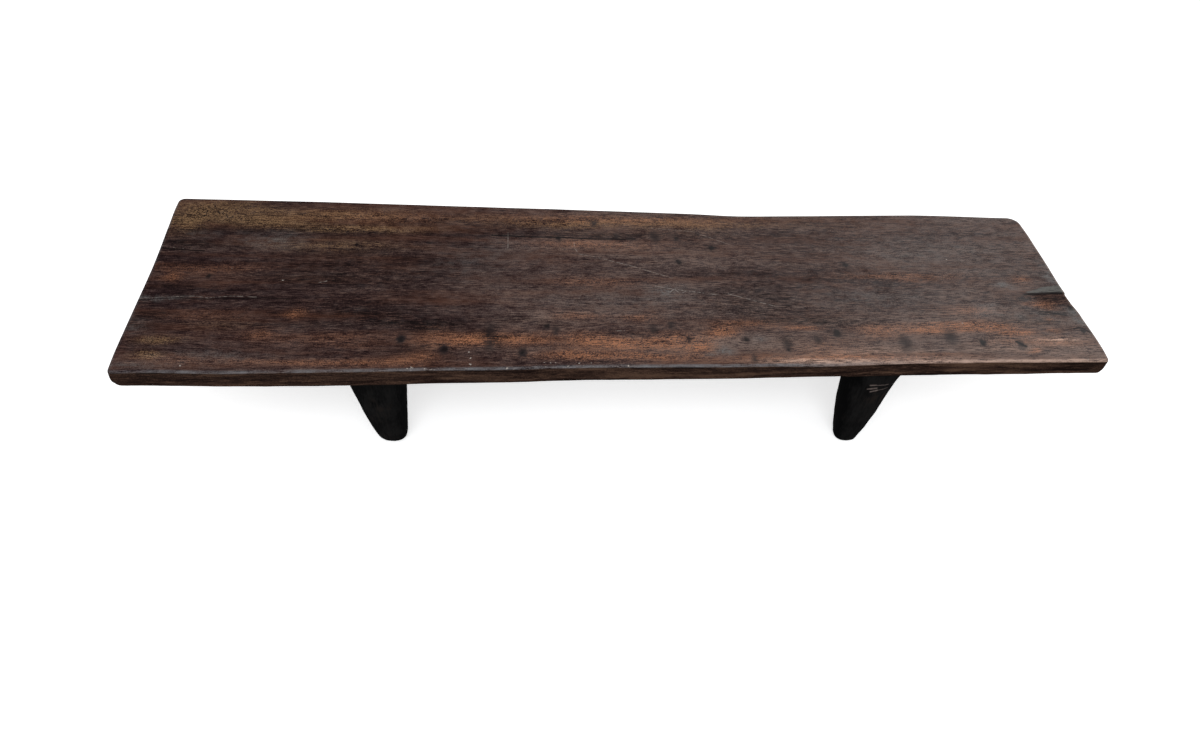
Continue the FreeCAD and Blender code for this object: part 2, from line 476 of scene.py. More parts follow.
    def finish(self, colour: object, roughness: "Signal | float", height: Signal,
               coat: "Signal | float", coat_roughness: float) -> bpy.types.Material:
        """Ends the tree with one surface shader.

        Args:
            colour: the base colour.
            roughness: the roughness.
            height: the surface's relief in millimetres.
            coat: how much polish lies over the surface.
            coat_roughness: the polish's roughness.

        Returns:
            The material.
        """
        bump = self.add("ShaderNodeBump", {}, {"Strength": 1.0, "Distance": 0.001, "Height": height})
        shader = self.add("ShaderNodeBsdfPrincipled", {},
                          {"Base Color": colour, "Roughness": roughness, "Coat Weight": coat,
                           "Normal": bump.outputs[0], "Specular IOR Level": 0.0,
                           "Coat Roughness": coat_roughness, "Coat IOR": 1.5})
        self.add("ShaderNodeOutputMaterial", {}, {"Surface": shader.outputs[0]})
        return self.owner


@dataclass(frozen=True)
class Spot:
    """A small mark on the board's top, such as a knot, at x and y."""

    x: float
    y: float
    half_length: float
    half_width: float


@dataclass(frozen=True)
class Line:
    """A thin straight mark, such as a scratch, between two places."""

    start: Place
    end: Place
    half_width: float


@dataclass(frozen=True)
class Patch(Spot):
    """A soft-edged area of the board's top, with a strength."""

    strength: float


def metres(lengths: tuple[float, ...]) -> tuple[float, ...]:
    """Lengths given in millimetres, in metres."""
    return tuple(length / 1000.0 for length in lengths)


def spots(along: float, across: float, rows: tuple[Place, ...]) -> tuple[Spot, ...]:
    """Spots of one shape.

    Args:
        along, across: half length and half width, as shares of a spot's size.
        rows: x, y and size of each spot, in millimetres.

    Returns:
        The spots, in metres.
    """
    return tuple(Spot(x, y, size * along, size * across) for x, y, size in map(metres, rows))


def all_lines(paths: tuple[tuple[float, tuple[Pair, ...]], ...]) -> tuple[Line, ...]:
    """Lines from point to point of each path on the board's top, seen from above.

    Args:
        paths: the half width and the points of each path, in millimetres.

    Returns:
        The lines, in metres.
    """
    lines = []
    for half_width, points in paths:
        places = [(*metres(point), 0.0) for point in points]
        lines += [Line(a, b, half_width / 1000.0) for a, b in zip(places, places[1:])]
    return tuple(lines)


# ---- The board ------------------------------------------------------------------------------------

# Each row: x, y and size in millimetres.
KNOTS = spots(1.0, 1.2, (
    (-874, 5, 4.5), (-455, -176, 5), (-368, -203, 5.5), (-212, -213, 4), (-163, -138, 5.5),
    (-135, 147, 6), (140, 151, 6), (217, 116, 7), (136, 66, 7), (128, -174, 5), (249, -174, 6),
    (444, -157, 9), (751, -187, 6), (988, -153, 4.5), (-585, 115, 5), (520, 60, 6), (331, -205, 3),
    (994, -78, 6),
))
SMUDGES = spots(0.85, 1.45, (
    (-49, 203, 11), (0, 156, 8), (91, 154, 13), (56, -146, 10), (95, -134, 9), (399, -176, 10),
    (584, -186, 17), (688, -169, 17), (751, -187, 7), (331, -186, 13), (-455, -176, 10),
    (-213, -211, 11), (-279, -190, 12), (-279, -150, 12), (-368, -203, 10), (-145, -150, 10),
    (834, -190, 10), (256, -229, 8),
))


class Shade(Enum):
    """The soft tones that lie over the wood of the top: the wood's own colours, and painted sheen and
    shadow.
    """

    EMBER = "ember"
    OLIVE = "olive"
    PAINTED_GREY_SHEEN = "slate"
    DARK_WOOD_AND_SHADOW = "soot"
    BLUSH = "blush"
    WEAR_AND_SHEEN = "worn"


# Each row: x, y, half length and half width in millimetres, and the strength.
PATCHES: dict[Shade, tuple[Patch, ...]] = {
    shade: tuple(Patch(*metres(row[:4]), row[4]) for row in rows) for shade, rows in (
    (Shade.EMBER, (
        (-327, -179, 50, 15, 1), (-396, -172, 40, 26, 0.35), (-422, -221, 32, 16, 0.5),
        (-223, -174, 55, 16, 0.9), (-112, -221, 75, 11, 1.1), (-79, -180, 55, 19, 0.9),
        (7, -187, 45, 18, 1), (90, -178, 44, 21, 0.9), (150, -194, 26, 18, 1), (199, -158, 34, 15, 1),
        (40, -222, 90, 10, 0.8), (384, -141, 36, 6, 1), (729, -138, 90, 12, 1.5),
        (828, -159, 36, 8, 1.5), (849, -210, 12, 6, 0.8), (919, -151, 14, 8, 0.6),
        (640, -150, 50, 8, 0.6), (540, -150, 50, 16, 0.5), (420, -200, 90, 20, 0.35),
        (-944, 4, 18, 13, 0.55), (-672, -102, 16, 14, 0.5), (-738, -160, 22, 12, 0.5),
        (-640, -240, 160, 8, 0.4), (-880, -235, 60, 12, 0.2), (-470, -237, 70, 10, 0.4),
        (450, -228, 190, 10, 0.8), (-880, 30, 110, 12, 0.3), (-46, -3, 80, 14, 0.34),
        (945, -68, 38, 8, 0.62), (944, -82, 20, 4, 0.5), (-100, -105, 60, 12, 0.4),
        (-620, -180, 120, 20, 0.22), (-850, -115, 70, 16, 0.12), (870, -185, 90, 12, 0.45),
        (250, -132, 70, 10, 0.4), (0, 215, 250, 18, 0.45), (-60, 125, 120, 14, 0.5),
        (40, -110, 40, 12, 0.4), (931, -114.6, 13, 5, 0.55), (640, 20, 120, 10, 0.35),
        (-560, 215, 180, 20, 0.3), (917, 13, 22, 10, 0.5), (760, -90, 60, 12, 0.4),
    )),
    (Shade.OLIVE, (
        (-905, 228, 80, 28, 1.1), (-965, 185, 40, 30, 0.7), (-800, 196, 90, 20, 0.8),
        (-640, 222, 140, 20, 0.55), (-600, 170, 120, 12, 0.7), (0, 205, 330, 20, 0.45),
        (-922, -181, 32, 10, 0.6), (-917, -221.5, 22, 9, 1), (-640, 110, 120, 20, 0.3),
        (-820, -140, 70, 18, 0.08),
    )),
    # Grey patches: painted sheen, grey reflections painted into the colour.
    (Shade.PAINTED_GREY_SHEEN, (
        (-978, -149, 20, 18, 0.5), (-955, -62, 50, 7, 1.1), (-760, 125, 60, 26, 0.7),
        (194, -207, 26, 18, 1.1), (265, -176, 20, 10, 0.9), (877, -5, 20, 10, 1),
        (809, -89, 22, 18, 0.8), (105, -30, 50, 18, 0.6), (-330, 50, 80, 50, 0.25),
        (-250, 110, 100, 40, 0.18), (1002, 32, 18, 40, 0.9), (996, -113, 14, 34, 1.1),
        (700, 100, 200, 70, 0.3), (880, -100, 80, 26, 0.5), (560, -50, 150, 40, 0.4),
        (-820, -225, 100, 14, 0.4), (30, -60, 200, 40, 0.28), (-930, -247, 90, 8, 0.5),
        (305, -233, 30, 8, 0.6), (-930, 145, 60, 20, 0.25),
    )),
    # Dark patches: mostly dark wood; the rows round (-560, 40), (-520, -110), (-442, -128) and (-385, -140)
    # partly paint the shadow of a bowl that stood on the top and is not modelled.
    (Shade.DARK_WOOD_AND_SHADOW, (
        (-442, -128, 70, 7, 1), (-385, -140, 50, 14, 0.8), (-950, 110, 70, 24, 0.8),
        (-560, 40, 170, 90, 0.6), (-960, -125, 50, 28, 0.7), (-520, -110, 120, 36, 0.6),
        (880, -118, 70, 14, 0.5), (10, 160, 280, 10, 0.7), (384, -123, 112, 10, 0.9),
        (300, -70, 90, 40, 0.45), (-700, 5, 160, 14, 0.45), (-780, 158, 180, 7, 0.8),
        (-279, -170, 16, 34, 0.9), (-930, -30, 80, 14, 0.5), (944, -48, 50, 8, 1),
        (950, -98, 34, 6, 1.1), (-410, -202, 70, 24, 0.35), (-860, 100, 70, 12, 0.4),
        (-645, -140, 90, 10, 0.5), (900, 30, 80, 10, 0.4), (830, 120, 100, 14, 0.35),
        (-200, -120, 80, 12, 0.4),
    )),
    (Shade.BLUSH, (
        (430, -236.5, 115, 5.5, 1.3), (640, -236.5, 130, 3, 0.9), (941, -177.4, 38, 1.5, 0.8),
        (870, -234.5, 130, 2.4, 0.6), (780, -205, 70, 6, 0.2), (500, -212, 100, 8, 0.25),
        (930, -200, 70, 30, 0.14), (-918, -221.5, 14, 6, 0.14),
    )),
    # Lighter patches: part wear, part painted sheen that lightens the colour.
    (Shade.WEAR_AND_SHEEN, (
        (-120, 205, 330, 55, 0.49), (200, 180, 300, 80, 0.3), (-80, -88, 240, 45, 0.64),
        (0, 50, 240, 70, 0.42), (120, -200, 240, 45, 0.7), (-760, -215, 190, 40, 0.3),
        (640, -200, 380, 60, 1.55), (940, -190, 80, 50, 0.5), (760, -60, 200, 80, 0.64),
        (-735, 115, 90, 50, 0.19), (-660, -155, 90, 40, 0.15), (-890, -200, 60, 50, 0.12),
        (860, 200, 120, 40, 0.11), (780, 80, 200, 70, 0.22), (-240, -30, 90, 110, 0.26),
        (-10, 125, 170, 36, 0.4),
    )),
)}

# Each row: half width, then the points of a path, in millimetres.
SCRATCHES = all_lines((
    (0.8, (
        (-99, 140), (-98, 112), (-90, 91), (-50, 81), (29, 51),
        (115, 12),
    )),
    (1, ((74, -14), (124, -26), (214, -42))),
    (0.9, ((93, -27), (105, -33), (115, -23), (127, -39), (141, -29))),
    (1, ((232, -38), (266, -51), (328, -76))),
    (0.8, ((-250, 170), (-249, 109))),
    (0.6, ((86, 186), (180, 176), (262, 130))),
    (1.2, ((-646, -13), (-629, -7))),
    (1, ((-994, 98), (-951, 93))),
    (0.8, ((-930, -60), (-885, -57), (-858, -62), (-815, -56), (-762, -58))),
    (0.9, ((-22, -151), (-4, -150))),
))
CRACKS_AND_LIP_SHADOW = all_lines((
    (1.6, ((-1002, 94), (-960, 89), (-905, 86))),
    (1.1, ((-996, -70), (-915, -62), (-858, -66), (-743, -60), (-690, -63))),
    (2.2, ((-286, 154), (-210, 150), (-131, 149), (-60, 145), (43, 146))),
    # Along the lip at the right end: a crack, and a painted shadow line under the smooth strip.
    (2.2, ((905, -37.5), (947, -33.5), (990, -31.5), (1006, -32.5))),
    (1.6, ((919, -91), (952, -99), (974, -104))),
    (1.8, ((970, -147), (984, -142), (992, -146), (1004, -160))),
    (3, ((826, -184), (833, -190), (841, -197))),
    (0.9, ((905, -120), (950, -124))),
))
FLECKS = spots(1.5, 1.0, (
    (-720, -5, 1.8), (-320, -210, 1.4), (-315, -226, 1.7), (-315, -243, 1.6), (-435, -254, 1.2),
    (-426, -252, 1.6), (-402, -256, 1.4), (-391, -257, 1.8), (-372, -257, 1.1), (-243, -253, 2),
    (-168, -238, 1.1), (-158, -240, 1.3), (-146, -238, 1.1), (-101, -240, 1.2), (-77, -240, 1.3),
    (-123, -248, 1.4), (-4, -247, 1.3), (768, 82, 1.5), (-832, 30, 1.1), (728, -128, 1),
    (960, -235, 1.2), (118, -256, 1.4), (-560, -262, 1.2), (-860, -248, 1.3),
))


@dataclass
class Board:
    """The hewn board: a long tapered slab whose top sags a little between its ends, with worn arrises.

    All lengths are in metres. Tables of edges give (place along the edge, how far out it stands).
    """

    name: str = "hewn_bed_board"
    node: str = "bed_board"
    top_at_ends: float = 0.3147
    top_sag: float = 0.0045
    half_length: float = 1.007
    top_arris: float = 0.0048
    lower_arris: float = 0.0065
    front_edge: Table = (
        (-0.9, -0.2715), (-0.836, -0.2737), (-0.772, -0.2749), (-0.708, -0.2725), (-0.643, -0.2714),
        (-0.578, -0.2696), (-0.447, -0.2664), (-0.381, -0.2639), (-0.314, -0.2637), (-0.246, -0.2628),
        (-0.179, -0.2599), (-0.11, -0.2577), (-0.041, -0.2561), (0.028, -0.2565), (0.099, -0.2553),
        (0.169, -0.2547), (0.24, -0.2537), (0.311, -0.2509), (0.383, -0.2497), (0.457, -0.2473),
        (0.531, -0.2459), (0.604, -0.2446), (0.679, -0.2445), (0.754, -0.2441), (0.829, -0.244),
        (0.906, -0.2414),
    )
    rear_edge: Table = (
        (-0.986, 0.2746), (-0.782, 0.2733), (-0.713, 0.2729), (-0.295, 0.2628), (-0.224, 0.2609),
        (-0.153, 0.2595), (-0.081, 0.2575), (-0.01, 0.2547), (0.062, 0.2524), (0.135, 0.2495),
        (0.207, 0.2464), (0.28, 0.2407), (0.329, 0.2402), (0.732, 0.251), (0.807, 0.2497),
        (0.883, 0.2462), (0.96, 0.2422),
    )
    left_edge: Table = (
        (-0.261, -0.9897), (-0.246, -0.9912), (-0.215, -0.9931), (-0.151, -0.9943), (-0.083, -0.9955),
        (-0.011, -0.9961), (0.027, -0.997), (0.066, -0.9993), (0.106, -1.0017), (0.147, -1.0048),
        (0.189, -1.007), (0.233, -1.0103),
    )
    right_edge: Table = (
        (-0.232, 1.006), (-0.215, 1.0087), (-0.198, 1.009), (-0.162, 1.0092), (-0.126, 1.0079),
        (-0.089, 1.0076), (-0.011, 1.0041), (0.072, 1.0061), (0.183, 1.0059), (0.206, 1.0043),
        (0.222, 1.0032),
    )
    front_lean: Table = (
        (-0.97, 0.005), (-0.9, 0.0068), (-0.75, 0.007), (-0.4, 0.0068), (-0.2, 0.0066),
        (0.0, 0.006), (0.1, 0.0062), (0.2, 0.005), (0.28, 0.0042), (0.36, 0.0022),
        (0.43, 0.003), (0.6, 0.0062), (0.78, 0.0056), (0.85, 0.003), (0.92, 0.0012), (1.0, 0.0014),
    )
    underside: Table = (
        (-1.007, 0.277), (-0.759, 0.277), (-0.609, 0.2725), (-0.418, 0.2725), (-0.268, 0.273),
        (0.296, 0.273), (0.446, 0.2725), (0.642, 0.2725), (0.792, 0.2735), (1.007, 0.2735),
    )
    side_ease: float = 0.03
    end_ease: float = 0.02
    seat_height: float = 0.2725
    hollow_depth: float = 0.0032
    length_steps: tuple[float, ...] = (2.014, 0.11, 0.003, 0.007)
    width_steps: tuple[float, ...] = (0.52, 0.033, 0.003, 0.006)
    lip_shares: Pair = (0.345, 0.475)
    lip_step: float = 0.0055
    wall_shares: tuple[float, ...] = (0.2, 0.4, 0.6, 0.8)
    mortise_radius: float = 0.0242
    mortise_levels: Pair = (0.2525, 0.298)
    mortise_sides: int = 48
    corner_radii: dict[tuple[int, int], float] = field(default_factory=lambda: {
        (-1, -1): 0.009, (1, -1): 0.009, (-1, 1): 0.014, (1, 1): 0.028})
    foot_rounding: dict[tuple[int, int], float] = field(default_factory=lambda: {
        (-1, -1): 0.012, (1, -1): 0.006, (-1, 1): 0.01, (1, 1): 0.006})
    lip: Table = ((0.905, -0.036), (0.947, -0.0325), (0.99, -0.0305), (1.01, -0.0315))
    lip_back: Table = ((0.905, -0.03), (0.914, -0.027), (0.93, -0.023), (0.957, -0.012), (0.994, -0.006),
                       (1.01, -0.004))
    seats: tuple[tuple[float, float, float, float], ...] = (
        (-0.513, 0.078, 0.178, 0.242), (0.5445, 0.087, 0.133, 0.243))

    def plan(self, s: Array, t: Array, inset: float, rise: float) -> tuple[Array, Array]:
        """Maps shares of the length and width onto the board's outline seen from above.

        A share runs straight between the two edges that face each other. In each corner, the square
        grid is bent into a quarter round: each distance shrinks by the root of one minus half the
        other's square. The rounds grow towards the foot, with the fifth power of the way down.

        Args:
            s: shares of the way from the left end to the right one.
            t: shares of the way from the front edge to the rear one.
            inset: how far the outline is drawn in all round.
            rise: 0 at the foot of the leaning front face, 1 at its head.

        Returns:
            The x and y of each place.
        """
        x = (2.0 * s - 1.0) * self.half_length
        for _ in range(2):
            front = (eased_line(self.front_edge, x, self.side_ease)
                     + rise * eased_line(self.front_lean, x, self.end_ease) + inset)
            rear = eased_line(self.rear_edge, x, self.side_ease) - inset
            y = front + (rear - front) * t
            left = eased_line(self.left_edge, y, self.end_ease) + inset
            right = eased_line(self.right_edge, y, self.end_ease) - inset
            x = left + (right - left) * s
        for (end, side), radius in self.corner_radii.items():
            reach = radius - inset + self.foot_rounding[end, side] * (1.0 - rise) ** 5
            from_end = (x - left) if end < 0 else (right - x)
            from_side = (y - front) if side < 0 else (rear - y)
            p = np.clip(1.0 - from_end / reach, 0.0, 1.0)
            q = np.clip(1.0 - from_side / reach, 0.0, 1.0)
            x = x - end * reach * p * (1.0 - np.sqrt(1.0 - q * q / 2.0))
            y = y - side * reach * q * (1.0 - np.sqrt(1.0 - p * p / 2.0))
        return x, y

    def top(self, x: Array, y: Array) -> Array:
        """The height of the worn top.

        It is a shallow bow along the board, with long low waves and faint adze hollows, a roll
        towards the front edge where the arris has worn wide, and a broken hollow below a lip at the
        right end.

        Args:
            x, y: places along and across the board.

        Returns:
            Heights above the floor.
        """
        level = self.top_at_ends - self.top_sag * (1.0 - (x / self.half_length) ** 2)
        waves = SmoothNoise(11).layered(x * 5.0, y * 11.0, 0.5)
        hollows = adze_hollows(x + 3.0, y + 3.0 + 0.01 * np.sin(x * 9.0), 0.15, 0.062, 5)
        from_front = self.from_front(x, y)
        worn = self.worn(x)
        roll = (0.0008 + 0.0026 * worn) * smooth_step(0.03, 0.004, from_front) ** 2
        rear_gap = eased_line(self.rear_edge, x, self.side_ease) - y
        rear_roll = 0.001 * smooth_step(0.026, 0.004, rear_gap) ** 2
        sunk = self.hollow(x, y)
        torn = SmoothNoise(14).layered(x * 45.0, y * 190.0, 0.5)
        return (level + 0.00045 * waves + 0.0003 * hollows - roll - rear_roll
                - self.hollow_depth * sunk + 0.0007 * sunk * torn)

    def from_front(self, x: Array, y: Array) -> Array:
        """How far each place of the top lies behind the head of the front face."""
        return (y - eased_line(self.front_edge, x, self.side_ease)
                - eased_line(self.front_lean, x, self.end_ease))

    def worn(self, x: Array) -> Array:
        """How much the front arris is worn wide along the board, from 0 to 1."""
        return smooth_step(0.28, 0.44, x) * smooth_step(0.86, 0.62, x)

    def hollow(self, x: Array, y: Array) -> Array:
        """How deep each place lies in the broken hollow at the right end.

        The hollow drops at the lip, and rises again in a smooth step towards the front.

        Args:
            x, y: places along and across the board.

        Returns:
            0 outside, 1 at the deepest.
        """
        below = np.interp(x, *np.array(self.lip).T) - y
        return (smooth_step(0.898, 0.945, x) * smooth_step(-0.0002, 0.0022, below)
                * smooth_step(0.074, 0.02, below))

    def strip(self, x: Array, y: Array) -> Array:
        """How far each place lies on the smooth strip behind the lip.

        Args:
            x, y: places along and across the board.

        Returns:
            0 outside, 1 on the strip.
        """
        above = y - np.interp(x, *np.array(self.lip).T)
        short = np.interp(x, *np.array(self.lip_back).T) - y
        return (smooth_step(0.9, 0.918, x) * smooth_step(-0.0015, 0.001, above)
                * smooth_step(-0.002, 0.004, short))

    def bottom(self, x: Array, y: Array) -> Array:
        """The height of the underside: straight runs between flat seats, hewn in hollows elsewhere.

        Args:
            x, y: places along and across the board.

        Returns:
            Heights above the floor.
        """
        level = eased_line(self.underside, x, 0.01)
        hewn = np.ones(x.shape)
        for middle, half_length, near, far in self.seats:
            along = smooth_step(half_length, half_length + 0.02, np.abs(x - middle))
            across = np.maximum(smooth_step(near, near - 0.02, np.abs(y)),
                                smooth_step(far, far + 0.01, np.abs(y)))
            hewn *= np.maximum(along, across)
        hollows = 1.0 - adze_hollows(x + 3.0, y + 3.0 + 0.012 * np.sin(x * 13.0), 0.085, 0.052, 8)
        rough = SmoothNoise(12).layered(x * 12.0, y * 18.0, 0.5)
        relief = 0.0011 * hollows + 0.0003 * (rough + 1.0)
        return level * hewn + self.seat_height * (1.0 - hewn) + hewn * relief

    @staticmethod
    def _shares(length: float, fine_run: float, fine: float, coarse: float) -> Array:
        """Shares of a length in small steps near its two ends and larger ones between.

        Args:
            length: the whole length.
            fine_run: how far the small steps reach in from each end.
            fine: the small step.
            coarse: the larger step.

        Returns:
            Shares from 0 to 1.
        """
        start = np.linspace(0.0, fine_run, round(fine_run / fine) + 1)
        middle = np.linspace(fine_run, length - fine_run, round((length - 2 * fine_run) / coarse) + 1)
        end = length - start[::-1]
        return np.concatenate([start[:-1], middle, end[1:]]) / length

    def surface(self) -> tuple[Array, Array, Array]:
        """The board's closed surface.

        One grid is the top and one the underside. Between their rims a wall follows the outline:
        a quarter round out and down, a straight run, and a quarter round down and in, with small
        waves pushed out and in across the run.

        Returns:
            The points, the faces and how far each point has turned from flat to upright, 0 to 1.
        """
        across = self._shares(*self.width_steps)
        first, last = self.lip_shares
        extra = np.arange(first, last, self.lip_step)
        across = np.sort(np.concatenate([across[(across < first - 0.002) | (across > last)], extra]))
        s, t = np.meshgrid(self._shares(*self.length_steps), across, indexing="ij")
        rows, columns = s.shape
        top_x, top_y = self.plan(s, t, self.top_arris, 1.0)
        low_x, low_y = self.plan(s, t, self.lower_arris, 0.0)
        top = np.stack([top_x, top_y, self.top(top_x, top_y)], -1)
        low = np.stack([low_x, low_y, self.bottom(low_x, low_y)], -1)
        number = np.arange(rows * columns).reshape(rows, columns)
        rim = np.concatenate([number[:-1, 0], number[-1, :-1], number[:0:-1, -1], number[0, :0:-1]])
        head, *between, foot = [np.stack(self.plan(s.ravel()[rim], t.ravel()[rim], 0.0, 1.0 - share), -1)
                                for share in (0.0, *self.wall_shares, 1.0)]
        top_rim, low_rim = top.reshape(-1, 3)[rim], low.reshape(-1, 3)[rim]

        away = (head - top_rim[:, :2]) / self.top_arris
        turns = np.radians(np.linspace(18.0, 90.0, 5))
        rings = []
        for turn in turns:
            flat = top_rim[:, :2] + (head - top_rim[:, :2]) * math.sin(turn)
            rings.append((flat, top_rim[:, 2] - self.top_arris * (1.0 - math.cos(turn)), 0.0))
        high_z = top_rim[:, 2] - self.top_arris
        deep_z = low_rim[:, 2] + self.lower_arris
        for share, outline in zip(self.wall_shares, between):
            rings.append((outline, high_z + (deep_z - high_z) * share, 1.0))
        for turn in turns[::-1]:
            flat = low_rim[:, :2] + (foot - low_rim[:, :2]) * math.sin(turn)
            rings.append((flat, low_rim[:, 2] + self.lower_arris * (1.0 - math.cos(turn)), 0.0))

        ripple = SmoothNoise(21)
        walls = []
        for flat, z, straight in rings:
            wave = ripple.layered(flat[:, 0] * 9.0, flat[:, 1] * 9.0, z * 45.0)
            push = (0.00025 + 0.0003 * straight) * wave
            walls.append(np.column_stack([flat + away * push[:, None], z]))
        wall = np.stack(walls)
        wall_number = 2 * rows * columns + np.arange(wall.shape[0] * len(rim)).reshape(wall.shape[0], -1)
        stack = np.concatenate([rim[None], wall_number, (rim + rows * columns)[None]])
        stack = np.concatenate([stack, stack[:, :1]], 1)

        points = np.concatenate([top.reshape(-1, 3), low.reshape(-1, 3), wall.reshape(-1, 3)])
        faces = np.concatenate([grid_faces(number), grid_faces(number + rows * columns)[:, ::-1],
                                grid_faces(stack)])
        flank = np.zeros(len(points))
        depth = np.concatenate([np.sin(turns), np.ones(len(rings) - len(turns))])
        flank[2 * rows * columns:] = np.repeat(depth, len(rim))
        flank[rows * columns:2 * rows * columns] = 1.0
        return points, faces, flank

    def fibre(self, points: Array) -> Array:
        """Where each point lies among the wood's fibres.

        The fibres run along the board and wander slowly from side to side. Round each knot the
        crosswise place changes more slowly, which leads the grain round the knot.

        Args:
            points: the board's points.

        Returns:
            Places along, across and through the fibres.
        """
        x, y, z = points.T
        drift = 0.01 * SmoothNoise(31).layered(x * 1.6, y * 5.0, z * 5.0)
        lead = np.zeros(len(x))
        for spot in KNOTS:
            size = spot.half_width + 0.004
            reach = bell((x - spot.x) / (3.6 * size)) * bell((y - spot.y) / (2.2 * size))
            lead -= 0.4 * (y - spot.y) * reach
        return np.column_stack([x, y + drift + lead, z])

    def tone(self, points: Array, patches: tuple[Patch, ...], seed: int) -> Array:
        """How strongly a soft tone lies over each point.

        Each patch is a bell curve along and across the board, its outline frayed by noise that is
        drawn out along the grain. The noise shifts a place by 10 mm across the grain at most, and by
        no more than nine tenths of the patch's half width. Patches add up, and the sum is held at 1.

        Args:
            points: the board's points.
            patches: the patches of this tone.
            seed: picks the noise.

        Returns:
            Numbers from 0 to 1.
        """
        x, y, z = points.T
        noise = SmoothNoise(seed)
        fray_x = x + 0.03 * noise.layered(x * 7.0, y * 45.0, z * 30.0)
        sway = noise.layered(x * 9.0 + 7.0, y * 30.0, z * 30.0)
        total = np.zeros(len(x))
        for patch in patches:
            along = (fray_x - patch.x) / patch.half_length
            across = (y - patch.y) / patch.half_width + min(0.01 / patch.half_width, 0.9) * sway
            total += patch.strength * bell(along) * bell(across)
        return np.minimum(total, 1.0)

    def build(self, finish: "BoardFinish") -> bpy.types.Object:
        """Makes the board, bores its mortises and dresses it.

        Args:
            finish: the wood's finish.

        Returns:
            The board.
        """
        points, faces, flank = self.surface()
        piece = mesh_object(self.name, points, faces)
        x, y, z = points.T
        store(piece, "fibre", self.fibre(points))
        store(piece, "flank", flank)
        top_only = np.clip(1.0 - flank, 0.0, 1.0)
        for seed, (shade, patches) in enumerate(PATCHES.items()):
            store(piece, shade.value, self.tone(points, patches, 40 + seed) * (0.25 + 0.75 * top_only))
        from_front = self.from_front(x, y)
        # Worn arrises: real rounded wear, where the material also paints a blue-grey highlight into the
        # colour.
        rim = np.maximum(smooth_step(0.0084, 0.004, from_front),
                         0.5 * self.worn(x) * smooth_step(0.022, 0.008, from_front))
        ends = np.minimum(x - eased_line(self.left_edge, y, self.end_ease),
                          eased_line(self.right_edge, y, self.end_ease) - x)
        rim = np.maximum(rim, 0.35 * smooth_step(0.0068, 0.004, ends))
        store(piece, "rubbed_edge_highlight", rim * smooth_step(0.97, 0.75, flank))
        store(piece, "hollow", self.hollow(x, y) * top_only)
        store(piece, "strip", self.strip(x, y) * top_only)
        end = smooth_step(0.004, 0.001, ends) * smooth_step(0.5, 0.95, flank)
        store(piece, "end_grain", end * (z > 0.2775))
        self.bore(piece)
        piece.data.materials.clear()
        piece.data.materials.append(finish.material())
        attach(piece, "root")
        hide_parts(self.node)
        LOG.info("%s: %d faces", self.name, len(piece.data.polygons))
        return piece

    def bore(self, piece: bpy.types.Object) -> None:
        """Bores the four blind mortises from below.

        Args:
            piece: the board, whose mesh is replaced by the bored one.
        """
        sides = self.mortise_sides
        ring = np.linspace(0.0, 2.0 * math.pi, sides, endpoint=False)
        number = np.arange(2 * sides).reshape(2, sides)
        wall = grid_faces(np.concatenate([number, number[:, :1]], 1))[:, ::-1]
        caps = fan_faces(number[0][::-1], 2 * sides), fan_faces(number[1], 2 * sides + 1)
        cutters = []
        for leg in LEGS:
            circle = np.column_stack([leg.x + self.mortise_radius * np.cos(ring),
                                      leg.y + self.mortise_radius * np.sin(ring)])
            body = [np.column_stack([circle, np.full(sides, z)]) for z in self.mortise_levels]
            poles = [[leg.x, leg.y, z] for z in self.mortise_levels]
            cutter = mesh_object("mortise", np.concatenate([*body, poles]), wall, *caps)
            cutters.append(cutter)
            modifier = piece.modifiers.new("mortise", "BOOLEAN")
            modifier.operation = "DIFFERENCE"
            modifier.solver = "EXACT"
            modifier.object = cutter
        graph = bpy.context.evaluated_depsgraph_get()
        bored = bpy.data.meshes.new_from_object(piece.evaluated_get(graph), depsgraph=graph)
        piece.modifiers.clear()
        old = piece.data
        piece.data = bored
        bpy.data.meshes.remove(old)
        for cutter in cutters:
            mesh = cutter.data
            bpy.data.objects.remove(cutter)
            bpy.data.meshes.remove(mesh)


